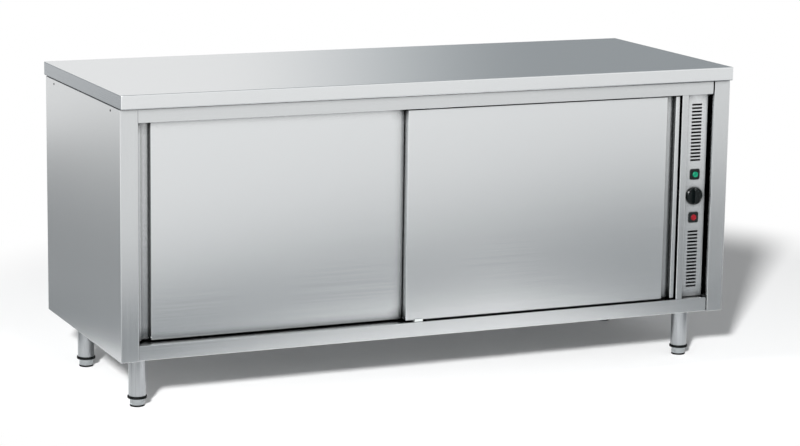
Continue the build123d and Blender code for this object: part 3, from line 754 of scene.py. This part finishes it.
dished_face = [(1.0, 0.8), (0.93, 0.25), (0.86, 0.0), (0.78, 0.05), (0.6, 0.45)]
dished_face += [(0.3, 0.7), (0, 0.75)]
lens_rings, ring_outer, ring_inner, ring_pitch = 4, 0.9, 0.78, 0.2
ring_depth, ring_slope = 0.35, 0.03
ringed_face = [(1.0, 0.5), (0.94, 0.0)]
for ring in range(lens_rings):
    outer, inner = ring_outer - ring_pitch * ring, ring_inner - ring_pitch * ring
    ringed_face += [(outer, 0.0), (outer - ring_slope, ring_depth)]
    ringed_face += [(inner, ring_depth), (inner - ring_slope, 0.0)]
ringed_face += [(0, 0)]
green = lens_plastic("green_polycarbonate", "#006B4E", "#008563")
red = lens_plastic("red_polycarbonate", "#6E0D16", "#8F1C25")
lamp_cap("power_button", green, dished_face)
lamp_cap("heating_lamp_lens", red, ringed_face)

# ---- Thermostat ----
# A capillary thermostat sits behind the panel, and a black phenolic knob with a raised grip is
# pushed on its stem. The scale is screen-printed on the panel: nought at the top, then clockwise.

knob_radius, knob_skirt, rim_width, rim_drop, knob_round = 25.0, 7.0, 3.2, 1.4, 0.5
# The rim's rounded top, as how far in and how far down: its outer side and its inner side.
rim_outer, rim_inner = ((0, 2.2), (0.7, 0.6), (1.6, 0)), ((-0.8, 0), (0, 0.5), (0.6, rim_drop))
grip_width, grip_length, grip_soft = 12.0, 44.0, 1.1
# Shares: the grip's top of its foot's width and length, and its ends' radius of half its width.
grip_taper, grip_rake, grip_round = 0.82, 0.96, 0.7
mark_half, mark_height, mark_inside, mark_outside = 0.7, 0.15, 0.9, 1.7
tick_count, tick_turn, tick_inner, tick_length, tick_width = 10, 30.0, 26.6, 2.0, 0.5
numeral_radius, numeral_size, ink_height = 30.9, 3.7, 0.06

# Black phenolic: hard and glossier than the nylon, with hardly any grain.
phenolic = moulded("black_phenolic", ("#030707", "#070D0E"), (0.24, 0.34), 2.5, 0.01, 0.25)
finished("thermostat", black_nylon)
stem_low, stem_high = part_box("thermostat_stem")
stem_radius = (stem_high.x - stem_low.x) * 500
stem_length = (stem_high.y - stem_low.y) * 1000
stem_middle = (stem_low + stem_high) / 2
stem_outline = [(0, 0), (stem_radius, 0), (stem_radius, stem_length), (0, stem_length)]
stem_foot = (stem_middle.x, stem_low.y, stem_middle.z)
stem = turned("thermostat_stem.turned", stem_outline, stem_foot, (0, 1, 0), zinc)
seat(stem, "thermostat_stem")


def knob():
    """A round skirt with a thick rim, and a tapered grip with round ends across it."""
    low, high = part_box("thermostat_knob")
    seat_place = (stem_middle.x, high.y, stem_middle.z)
    face = knob_skirt - rim_drop
    outline = [(stem_radius, 0), (knob_radius - knob_round, 0), (knob_radius, knob_round)]
    for radius, side in ((knob_radius, rim_outer), (knob_radius - rim_width, rim_inner)):
        outline += [(radius - inset, knob_skirt - drop) for inset, drop in side]
    outline += [(stem_radius, face), (stem_radius, 0)]
    skirt = turned("knob_skirt", outline, seat_place, (0, -1, 0), phenolic, steps=96)
    shape = bmesh.new()
    x, z = grip_width / 2000, grip_length / 2000
    y_foot, y_top = high.y - face / 1000, low.y
    block(shape, (-x, y_top, -z), (x, y_foot, z))
    for corner in shape.verts:
        if corner.co.y < (y_foot + y_top) / 2:
            corner.co.x *= grip_taper
            corner.co.z *= grip_rake
    round_front_corners(shape, x * grip_round, 8)
    shape.transform(Matrix.Translation((stem_middle.x, 0, stem_middle.z)))
    grip = finish_mesh(shape, "knob_grip", phenolic, soft=grip_soft, segments=4)
    seat(skirt, "thermostat_knob")
    add_on(grip, "thermostat_knob")


def print_ink(name, tone):
    """Screen-printing ink: flat, slightly broken at its edges, with a soft sheen."""
    return moulded(name, (tone, tone), (0.5, 0.62), 0.8, 0.01)


def knob_mark():
    """The white line on the knob that points at the scale."""
    low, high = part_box("thermostat_knob")
    x, z = stem_middle.x, stem_middle.z
    face = high.y - knob_skirt / 1000
    shape = bmesh.new()
    half, front = mark_half / 1000, face - mark_height / 1000
    inner = z + (knob_radius - rim_width + mark_inside) / 1000
    outer = z + (knob_radius - mark_outside) / 1000
    block(shape, (x - half, front, inner), (x + half, face, outer))
    mark = finish_mesh(shape, "knob_mark", print_ink("white_ink", "#D9DBDC"))
    add_on(mark, "thermostat_knob")


knob()
knob_mark()
ink = print_ink("grey_ink", "#55595B")
panel_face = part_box("control_panel")[0].y
tick = bmesh.new()
half_tick = tick_width / 2000
block(
    tick,
    (-half_tick, -ink_height / 1000, tick_inner / 1000),
    (half_tick, 0, (tick_inner + tick_length) / 1000),
)
scale_middle = (stem_middle.x, panel_face, stem_middle.z)
tick = finish_mesh(tick, "tick", ink)
ticks = repeated("scale_ticks", tick, tick_count, scale_middle, turn=(0, tick_turn, 0))
add_on(ticks, "control_panel")
for numeral in (0, 30, 60, 90):
    words = bpy.data.curves.new(f"numeral_{numeral}", "FONT")
    words.body = str(numeral)
    words.size = numeral_size / 1000
    words.align_x = words.align_y = "CENTER"
    words.extrude = ink_height / 2000
    text = new_object(words.name, words)
    mesh = mesh_of(text)
    bpy.data.objects.remove(text)
    angle = math.radians(numeral * tick_turn * (tick_count - 1) / 90)
    x = stem_middle.x + math.sin(angle) * numeral_radius / 1000
    z = stem_middle.z + math.cos(angle) * numeral_radius / 1000
    y = panel_face - ink_height / 2000
    mesh.transform(Matrix.Translation((x, y, z)) @ Matrix.Rotation(math.pi / 2, 4, "X"))
    add_on(new_piece(f"scale_numeral_{numeral}", mesh, ink), "control_panel")

# ---- Shelf ----
# The loose middle shelf is a folded stainless tray turned upside down. It rests on four angle
# clips hooked in slotted strips on the end walls.

shelf_hem, shelf_sheet, shelf_bend = 12.0, 1.2, 2.5
folded_pan("middle_shelf", steel["X"], shelf_bend, shelf_hem, shelf_sheet, segments=4)
dressed("shelf_strips", rolled, "Z", bend=0.5, thinnest=2.5)
dressed("shelf_clips", zinc, bend=0.8, thinnest=2.5)

# ---- Fan heater ----
# Behind the control column a galvanised box on the partition holds a fan wheel and a tubular ring
# element, with the motor on its back.

dressed("fan_housing", galvanised, "Z", bend=1.0)

# Stoved black enamel on the motor's shell: satin, with a slight orange-peel.
enamel = moulded("stoved_enamel", ("#1C1D1F", "#232527"), (0.35, 0.45), 4.0, 0.03)
motor_low, motor_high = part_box("fan_motor")
axis_y, axis_z = (motor_low.y + motor_high.y) / 2, (motor_low.z + motor_high.z) / 2
motor_radius = (motor_high.y - motor_low.y) * 500
motor_length = (motor_high.x - motor_low.x) * 1000
# The shell's cooling grooves; where they start and how far apart are shares of its length.
groove_count, groove_width, groove_depth, groove_slope = 5, 2.0, 1.5, 0.4
groove_start, groove_pitch = 0.2, 0.12
motor_edge, motor_round, motor_shoulder = 1.0, 5.0, 1.5
outline = [(0, 0), (motor_radius - motor_edge, 0), (motor_radius, motor_edge)]
for groove in range(groove_count):
    start = motor_length * (groove_start + groove_pitch * groove)
    outline += [(motor_radius, start), (motor_radius - groove_depth, start + groove_slope)]
    outline += [(motor_radius - groove_depth, start + groove_width - groove_slope)]
    outline += [(motor_radius, start + groove_width)]
outline += [(motor_radius, motor_length - motor_round)]
outline += [(motor_radius - motor_shoulder, motor_length - motor_shoulder)]
outline += [(motor_radius - motor_round, motor_length), (0, motor_length)]
motor_foot = (motor_low.x, axis_y, axis_z)
seat(turned("fan_motor.turned", outline, motor_foot, (1, 0, 0), enamel, steps=72), "fan_motor")

wheel_low, wheel_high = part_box("fan_wheel")
fan_radius, fan_width, plate, hub, shaft = 80.0, 36.0, 2.0, 12.0, 4.0
blade_count, blade_depth, blade_sheet, blade_inset = 14, 22.0, 1.2, 0.2
hub_edge, shaft_edge = 1.0, 0.5
fan_length = (wheel_high.x - wheel_low.x) * 1000
outline = [(0, fan_width / 2), (hub - hub_edge, fan_width / 2), (hub, fan_width / 2 + hub_edge)]
outline += [(hub, fan_width - plate), (fan_radius, fan_width - plate), (fan_radius, fan_width)]
outline += [(shaft, fan_width), (shaft, fan_length - shaft_edge)]
outline += [(shaft - shaft_edge, fan_length), (0, fan_length)]
wheel_foot = (wheel_low.x, axis_y, axis_z)
disc = turned("fan_wheel_disc", outline, wheel_foot, (1, 0, 0), galvanised, steps=96)
seat(disc, "fan_wheel")
blade = bmesh.new()
block(
    blade,
    (0, (fan_radius - blade_depth) / 1000, -blade_sheet / 2000),
    ((fan_width - plate) / 1000, (fan_radius - blade_inset) / 1000, blade_sheet / 2000),
)
blade = finish_mesh(blade, "blade", galvanised, soft=0.3)
turn = (360 / blade_count, 0, 0)
add_on(repeated("fan_wheel_blades", blade, blade_count, wheel_foot, turn=turn), "fan_wheel")

element_low, element_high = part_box("heating_element")
ring_radius, tube_radius, sleeve_radius, sleeve_spacing = 104.0, 4.0, 5.0, 40.0


def heater_sheath():
    """Nickel-alloy sheath, darkened and browned by heat, with stains of about 25 mm."""
    stains, tones = (25.0, 25.0, "X"), ("#4A4238", "#6E675E")
    return patterned("heated_alloy_sheath", {"Metallic": 1.0}, stains, tones, (0.4, 0.6))


sheath = heater_sheath()
ring = bmesh.new()
bmesh.ops.create_circle(ring, segments=20, radius=tube_radius / 1000)
ring.transform(Matrix.Translation((0, ring_radius / 1000, 0)))
revolve(ring, ring.verts[:] + ring.edges[:], (1, 0, 0), 120)
x_ring = element_low.x + tube_radius / 1000
ring.transform(Matrix.Translation((x_ring, axis_y, axis_z)))
seat(finish_mesh(ring, "heating_ring", sheath), "heating_element")
reach = (element_high.x - x_ring) * 1000
collar, pin = 6.0, 2.5
for number, side in enumerate((-1, 1), 1):
    y = axis_y + side * sleeve_spacing / 2000
    z = axis_z + math.sqrt(ring_radius**2 - (sleeve_spacing / 2) ** 2) / 1000
    outline = [(0, 0), (sleeve_radius, 0), (sleeve_radius, reach - collar)]
    outline += [(pin, reach - collar), (pin, reach), (0, reach)]
    leg = turned(f"heating_leg_{number}", outline, (x_ring, y, z), (1, 0, 0), sheath)
    add_on(leg, "heating_element")

# ---- Cable gland ----
# The supply cable would enter through a black nylon gland with a hexagon on each side of the back
# panel and a ribbed dome nut.

gland_low, gland_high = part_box("cable_gland")
gland_x, gland_z = (gland_low.x + gland_high.x) / 2, (gland_low.z + gland_high.z) / 2
gland_radius, gland_bore, gland_cap, nut_radius, nut_thickness = 10.0, 5.0, 11.0, 14.0, 6.0
gland_reach, gland_dome, rib_count, rib_radius, panel_sheet = 14.0, 3.0, 18, 0.7, 1.2
gland_length = (gland_high.y - gland_low.y) * 1000
y_panel_back = gland_high.y - gland_reach / 1000
under_ribs, nut_end = gland_cap - rib_radius, gland_length - gland_reach + nut_thickness
outline = [(gland_bore, 0), (gland_radius, 0), (gland_radius, nut_end), (under_ribs, nut_end)]
outline += [(under_ribs, gland_length - gland_dome), (gland_cap - 2, gland_length - 1)]
outline += [(gland_bore + 1.5, gland_length), (gland_bore, gland_length - 0.5), (gland_bore, 0)]
gland_foot = (gland_x, gland_low.y, gland_z)
gland = turned("cable_gland.turned", outline, gland_foot, (0, 1, 0), black_nylon)
seat(gland, "cable_gland")
nuts = bmesh.new()
for y_nut in (y_panel_back, y_panel_back - (panel_sheet + nut_thickness) / 1000):
    nut_place = Matrix.Translation((gland_x, y_nut, gland_z)) @ facing((0, 1, 0))
    cylinder(nuts, nut_radius, nut_thickness, 6, nut_place)
add_on(finish_mesh(nuts, "gland_nuts", black_nylon, soft=0.6), "cable_gland")
rib = bmesh.new()
rib_length = gland_reach - nut_thickness - gland_dome
rib_place = facing((0, 1, 0)) @ Matrix.Translation((under_ribs / 1000, 0, 0))
cylinder(rib, rib_radius, rib_length, 10, rib_place)
rib = finish_mesh(rib, "gland_rib", black_nylon)
start = (gland_x, y_panel_back + nut_thickness / 1000, gland_z)
ribs = repeated("gland_ribs", rib, rib_count, start, turn=(0, 360 / rib_count, 0))
add_on(ribs, "cable_gland")

# ---- Legs ----
# Four stainless tubes hang from plates under the base. They are drawn and polished lengthwise,
# and a black polyethylene bush closes each one and holds the foot's stud.

leg_radius, leg_wall, ring_radius, ring_soft, stud_bore = 23.0, 1.5, 26.0, 1.4, 6.05
leg_chamfer, bush_clearance = 0.4, 0.1
drawn_tube = brushed_stainless("drawn_stainless_tube", "Z", "#9A9DA0", "#B6B9BB", 0.26, 0.34)
finished("leg_plates", galvanised)
# Black polyethylene: softer and duller than the nylon.
black_polyethylene = moulded(
    "black_polyethylene", ("#050707", "#0A0D0D"), (0.42, 0.55), 1.5, 0.01, gloss=0.08
)
bush_low, bush_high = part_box("leg_bushes")
corners = ("front_left", "front_right", "back_left", "back_right")
for corner in corners:
    tube_low, tube_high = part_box("leg_" + corner)
    middle = (tube_low + tube_high) / 2
    length = (tube_high.z - tube_low.z) * 1000
    bore = leg_radius - leg_wall
    outline = [(bore, leg_chamfer), (bore + leg_chamfer, 0), (leg_radius - leg_chamfer, 0)]
    outline += [(leg_radius, leg_chamfer), (leg_radius, length), (bore, length)]
    outline += [(bore, leg_chamfer)]
    place = (middle.x, middle.y, tube_low.z)
    tube = turned("leg_tube_" + corner, outline, place, (0, 0, 1), drawn_tube, steps=96, axis="Z")
    seat(tube, "leg_" + corner)
    ring = (tube_low.z - bush_low.z) * 1000
    plug = (bush_high.z - bush_low.z) * 1000
    rim, inside = ring_radius - leg_chamfer, bore - bush_clearance
    outline = [(stud_bore, 0), (ring_radius - ring_soft, 0), (rim, leg_chamfer)]
    outline += [(ring_radius, ring_soft), (ring_radius, ring - ring_soft)]
    outline += [(rim, ring - leg_chamfer), (ring_radius - ring_soft, ring)]
    outline += [(inside, ring), (inside, plug), (stud_bore, plug), (stud_bore, 0)]
    place = (middle.x, middle.y, bush_low.z)
    bush = turned("leg_bush_" + corner, outline, place, (0, 0, 1), black_polyethylene, steps=96)
    seat(bush, "leg_bushes")

# ---- Feet ----
# Each levelling foot is a turned head on a threaded stud, fluted for the fingers, with a black
# rubber pad under it.

head_radius, head_edge, flute_count, flute_radius, thread_pitch = 19.0, 1.0, 36, 0.75, 1.75
stud_radius, thread_depth, thread_root, head_clearance = 6.0, 0.7, 0.45, 0.3
# The fluted band: its distance from the head's bottom and top, and the slope at its ends.
band_low, band_high, band_slope = 2.4, 3.0, 0.4


def turned_zinc_alloy():
    """Die-cast zinc alloy, turned and chromed: light grey with a soft, even sheen."""
    lines, tones = (60.0, 0.8, "Z"), ("#A2A6A8", "#B2B6B8")
    return patterned("satin_chromed_alloy", {"Metallic": 1.0}, lines, tones, (0.24, 0.34))


alloy = turned_zinc_alloy()
# Black rubber: matt, with the mould's fine grain.
rubber = moulded("black_rubber", ("#060707", "#0D0E0E"), (0.55, 0.7), 1.0, 0.03, gloss=0.06)
for corner in corners:
    foot_low, foot_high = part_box("foot_" + corner)
    middle = (foot_low + foot_high) / 2
    pad_low, pad_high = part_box("foot_pad_" + corner)
    head = (bush_low.z - foot_low.z) * 1000 - head_clearance
    stud = (foot_high.z - foot_low.z) * 1000
    land = head_radius - flute_radius
    outline = [(0, 0), (head_radius, 0), (head_radius, band_low), (land, band_low + band_slope)]
    outline += [(land, head - band_high - band_slope), (head_radius, head - band_high)]
    outline += [(head_radius, head - head_edge)]
    outline += [(head_radius - head_edge, head), (stud_radius, head)]
    turns = int((stud - head - 1) / thread_pitch)
    for turn in range(turns):
        base = head + turn * thread_pitch
        outline += [(stud_radius - thread_depth, base + thread_root)]
        outline += [(stud_radius, base + thread_pitch)]
    outline += [(stud_radius - 1, stud), (0, stud)]
    place = (middle.x, middle.y, foot_low.z)
    foot = turned("foot_head_" + corner, outline, place, (0, 0, 1), alloy, steps=80)
    seat(foot, "foot_" + corner)
    flute = bmesh.new()
    flute_foot = Matrix.Translation((land / 1000, 0, (band_low + band_slope / 2) / 1000))
    cylinder(flute, flute_radius, head - band_low - band_high, 8, flute_foot)
    name = "foot_flutes_" + corner
    flute = finish_mesh(flute, name + ".one", alloy)
    flutes = repeated(name, flute, flute_count, place, turn=(0, 0, 360 / flute_count))
    add_on(flutes, "foot_" + corner)
    pad_radius = (pad_high.x - pad_low.x) * 500
    rise = (pad_high.z - pad_low.z) * 1000
    outline = [(0, 0), (pad_radius - 1.0, 0), (pad_radius - 0.3, 0.3), (pad_radius, 1.0)]
    outline += [(pad_radius, rise - 1.2), (pad_radius - 0.3, rise - 0.4)]
    outline += [(pad_radius - 1.0, rise), (0, rise)]
    place = (middle.x, middle.y, pad_low.z)
    pad = turned("foot_rubber_" + corner, outline, place, (0, 0, 1), rubber, steps=80)
    seat(pad, "foot_pad_" + corner)

# ---- Floor ----
# A pale studio floor, lit like any surface round the cabinet so that it keeps the shadow, and
# plain white further out. Grey, soft-edged patches of painted shade lie where the doors and the
# left end mirror the floor, and darken those reflections.

floor_size = 60.0
# Beyond the oval the floor turns white; its middle, its half sizes and the share it grows by.
oval_middle, oval_half, oval_growth = (0.45, 0.5), (1.35, 1.2), 1.45
# Each patch of painted shade: the middle of its near edge, half its length, its turn in degrees,
# how far out its soft near edge ends and its slow fade starts and ends, and how dark it is.
shade_patches = (
    ((0.85, -1.283), 2.4, 159.1, 0.1, 0.45, 1.9, 1.0),
    ((0.90, -0.763), 1.2, -122.3, 0.1, 0.7, 1.6, 0.9),
    ((-0.85, 1.045), 3.2, 74.8, 0.12, 0.7, 4.5, 0.85),
)
# Where every patch's near edge begins, and the share of its half length before its ends fade.
patch_edge, patch_full = 0.02, 0.75


def combined(tree, operation, *sources):
    """Several numbers as one: their product with MULTIPLY, the largest with MAXIMUM."""
    result = sources[0]
    for source in sources[1:]:
        pair = {0: result, 1: source}
        result = add(tree, "ShaderNodeMath", {"operation": operation}, pair).outputs[0]
    return result


def seen_outright(tree):
    """1 for what the camera sees, also mirrored or through glass, and 0 for all other light."""
    rays = add(tree, "ShaderNodeLightPath").outputs
    kinds = [rays[f"Is {kind} Ray"] for kind in ("Camera", "Glossy", "Transmission")]
    return combined(tree, "MAXIMUM", *kinds)


def fading(tree, value, start, end):
    """A number that falls smoothly from 1 at the start to 0 at the end."""
    ends = {"interpolation_type": "SMOOTHSTEP", "From Min": end, "From Max": start}
    return add(tree, "ShaderNodeMapRange", ends, {"Value": value}).outputs[0]


def studio_floor():
    """Matt white vinyl with grey, soft-edged patches of painted shade on it."""
    matt = {"Roughness": 1.0, "Specular IOR Level": 0.0}
    material, tree, shader, place = new_material("studio_floor", matt)
    less = {"operation": "SUBTRACT", 0: 1.0}
    patch_shades = []
    for edge, half, turn, soft, full, end, dark in shade_patches:
        laid = {"vector_type": "TEXTURE", "Location": (*edge, 0.0)}
        laid["Rotation"] = (0.0, 0.0, math.radians(turn))
        on_patch = add(tree, "ShaderNodeMapping", laid, {"Vector": place}).outputs[0]
        along, out = add(tree, "ShaderNodeSeparateXYZ", None, {0: on_patch}).outputs[:2]
        sideways = add(tree, "ShaderNodeMath", {"operation": "ABSOLUTE"}, {0: along}).outputs[0]
        fades = [fading(tree, out, soft, patch_edge), fading(tree, out, full, end)]
        fades.append(fading(tree, sideways, patch_full * half, half))
        faded = combined(tree, "MULTIPLY", *fades)
        dimmed = {"operation": "MULTIPLY", 1: dark}
        patch_shades.append(add(tree, "ShaderNodeMath", dimmed, {0: faded}).outputs[0])
    painted_shade = combined(tree, "MAXIMUM", *patch_shades)
    # Painted shade: grey patches darken the floor where the doors and the left end mirror it.
    tree.links.new(two_tone(tree, painted_shade, "#FCFCFC", "#6E7478"), shader.inputs["Base Color"])
    bare = add(tree, "ShaderNodeMath", less, {1: painted_shade}).outputs[0]
    oval = {"vector_type": "TEXTURE", "Location": (*oval_middle, 0.0), "Scale": (*oval_half, 1.0)}
    from_oval = add(tree, "ShaderNodeMapping", oval, {"Vector": place}).outputs[0]
    away = add(tree, "ShaderNodeVectorMath", {"operation": "LENGTH"}, {0: from_oval})
    near = fading(tree, away.outputs["Value"], 1.0, oval_growth)
    distant = add(tree, "ShaderNodeMath", less, {1: near}).outputs[0]
    share = combined(tree, "MULTIPLY", seen_outright(tree), bare, distant)
    white = add(tree, "ShaderNodeEmission", {"Strength": 1.0}).outputs[0]
    both = add(tree, "ShaderNodeMixShader", None, {0: share, 1: shader.outputs[0], 2: white})
    tree.links.new(both.outputs[0], tree.nodes["Material Output"].inputs["Surface"])
    return material


ground = bmesh.new()
bmesh.ops.create_grid(ground, x_segments=8, y_segments=8, size=floor_size)
mesh = bpy.data.meshes.new("floor")
ground.to_mesh(mesh)
ground.free()
new_piece("floor", mesh, studio_floor())

# ---- Light ----
# Soft studio light: a pale room with a dim ceiling and two dim walls, which draw the bends and
# shade the worktop, and one soft lamp from the front left that gives the shadow its side.

room_strength, front_strength, dim_strength, fill_share = 0.97, 1.2, 0.38, 0.38
blend_reach = 0.4  # how far behind and before the sides the room's two strengths blend
# Each dim wall: its two ends and soft edge in degrees from the back, and the heights at which its
# top starts and ends, as the sine of their angle. The ceiling's two heights are sines too.
dim_walls = ((20.0, 95.0, 7.0, 0.5, 0.8), (-60.0, -8.0, 5.0, 0.2, 0.4))
ceiling_start, ceiling_full = 0.78, 0.88
lamp_place, lamp_aim, lamp_size, lamp_power = (-7.82, -11.91, 6.8), (0, 0, 0.3), 1.4, 4200.0

world = bpy.data.worlds.new("studio_room")
world.use_nodes = True
bpy.context.scene.world = world
tree = world.node_tree
background = tree.nodes["Background"]
direction = add(tree, "ShaderNodeTexCoord").outputs["Generated"]
parts = add(tree, "ShaderNodeSeparateXYZ", None, {0: direction}).outputs
sides = {0: parts["X"], 1: parts["Y"]}
azimuth = add(tree, "ShaderNodeMath", {"operation": "ARCTAN2"}, sides).outputs[0]
dim = fading(tree, parts["Z"], ceiling_full, ceiling_start)
for left, right, edge, top, over in dim_walls:
    past_left = fading(tree, azimuth, math.radians(left + edge), math.radians(left))
    before_right = fading(tree, azimuth, math.radians(right - edge), math.radians(right))
    below_top = fading(tree, parts["Z"], top, over)
    wall = combined(tree, "MULTIPLY", past_left, before_right, below_top)
    dim = combined(tree, "MAXIMUM", dim, wall)
forwards = {"From Min": blend_reach, "From Max": -blend_reach}
forwards |= {"To Min": room_strength, "To Max": front_strength}
bright = add(tree, "ShaderNodeMapRange", forwards, {"Value": parts["Y"]}).outputs[0]
walls = {"Value": dim, "To Min": bright}
room = add(tree, "ShaderNodeMapRange", {"To Max": dim_strength}, walls).outputs[0]
tree.links.new(two_tone(tree, dim, "#FFFFFF", "#F2FAFF"), background.inputs["Color"])
fill = {"To Min": fill_share, "To Max": 1.0}
share = add(tree, "ShaderNodeMapRange", fill, {"Value": seen_outright(tree)}).outputs[0]
tree.links.new(combined(tree, "MULTIPLY", room, share), background.inputs["Strength"])

lamp = bpy.data.lights.new("soft_box", "AREA")
lamp.shape = "DISK"
lamp.size = lamp_size
lamp.energy = lamp_power
soft_box = new_object("soft_box", lamp)
soft_box.location = lamp_place
aim = Vector(lamp_aim) - Vector(lamp_place)
soft_box.rotation_mode = "QUATERNION"
soft_box.rotation_quaternion = aim.to_track_quat("-Z", "Y")

# ---- Camera ----
# A long lens from the front left, a little above the worktop.

camera_place = (-2.89786, -6.62029, 1.80800)
camera_azimuth, camera_pitch, camera_roll = 23.894, 11.042, 0.839
lens_mm, sensor_mm = 117.08, 36.0

view_lens = bpy.data.cameras.new("camera")
view_lens.lens = lens_mm
view_lens.sensor_width = sensor_mm
view_lens.clip_end = 200.0
camera = new_object("camera", view_lens)
azimuth, pitch, roll = (math.radians(a) for a in (camera_azimuth, camera_pitch, camera_roll))
turn = Matrix.Rotation(-azimuth, 4, "Z") @ Matrix.Rotation(math.pi / 2 - pitch, 4, "X")
camera.matrix_world = Matrix.Translation(camera_place) @ turn @ Matrix.Rotation(roll, 4, "Z")
bpy.context.scene.camera = camera
bpy.context.scene.view_settings.view_transform = "Standard"
